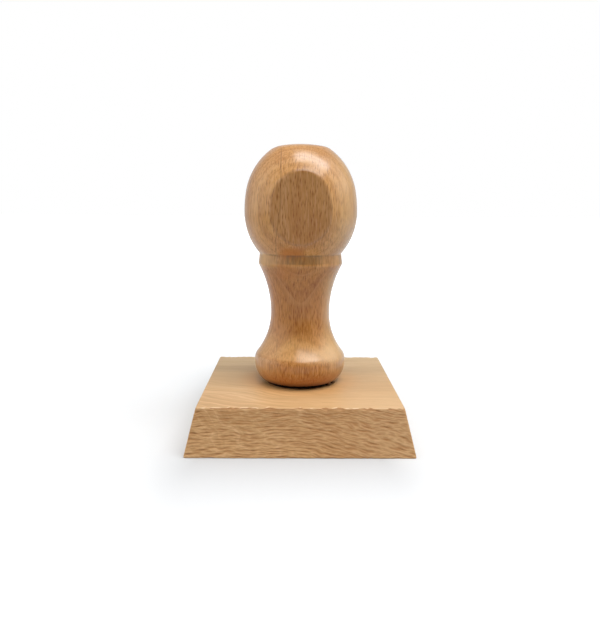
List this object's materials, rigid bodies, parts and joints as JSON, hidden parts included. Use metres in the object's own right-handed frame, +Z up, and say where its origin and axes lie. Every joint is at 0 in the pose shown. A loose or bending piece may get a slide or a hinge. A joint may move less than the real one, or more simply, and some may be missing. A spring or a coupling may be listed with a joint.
{
  "type": "hand stamp mount",
  "caption": "Turned wooden knob handle with a front flat, glued and screwed to a square bevelled wooden block with a flat underside; the holder of a hand stamp.",
  "frame": {"origin": "centre of the block's underside, on the surface that the part stands on", "axes": "+Z up along the handle's axis, -Y towards the front, where the flat on the knob faces, +X to the right"},
  "size_m": [0.06, 0.06, 0.0804],
  "materials": {
    "block_beech": "planed and sanded on top, sawn on the four sides, no gloss",
    "handle_beech": "turned, sanded, satin clear lacquer",
    "dried_glue": "dried cream wood glue, dull",
    "zinc_steel": "zinc plated, dull"
  },
  "bodies": {
    "root": {"base_block": "block_beech", "glue_line": "dried_glue", "handle": "handle_beech", "fixing_screw": "zinc_steel"}
  },
  "joints": []
}
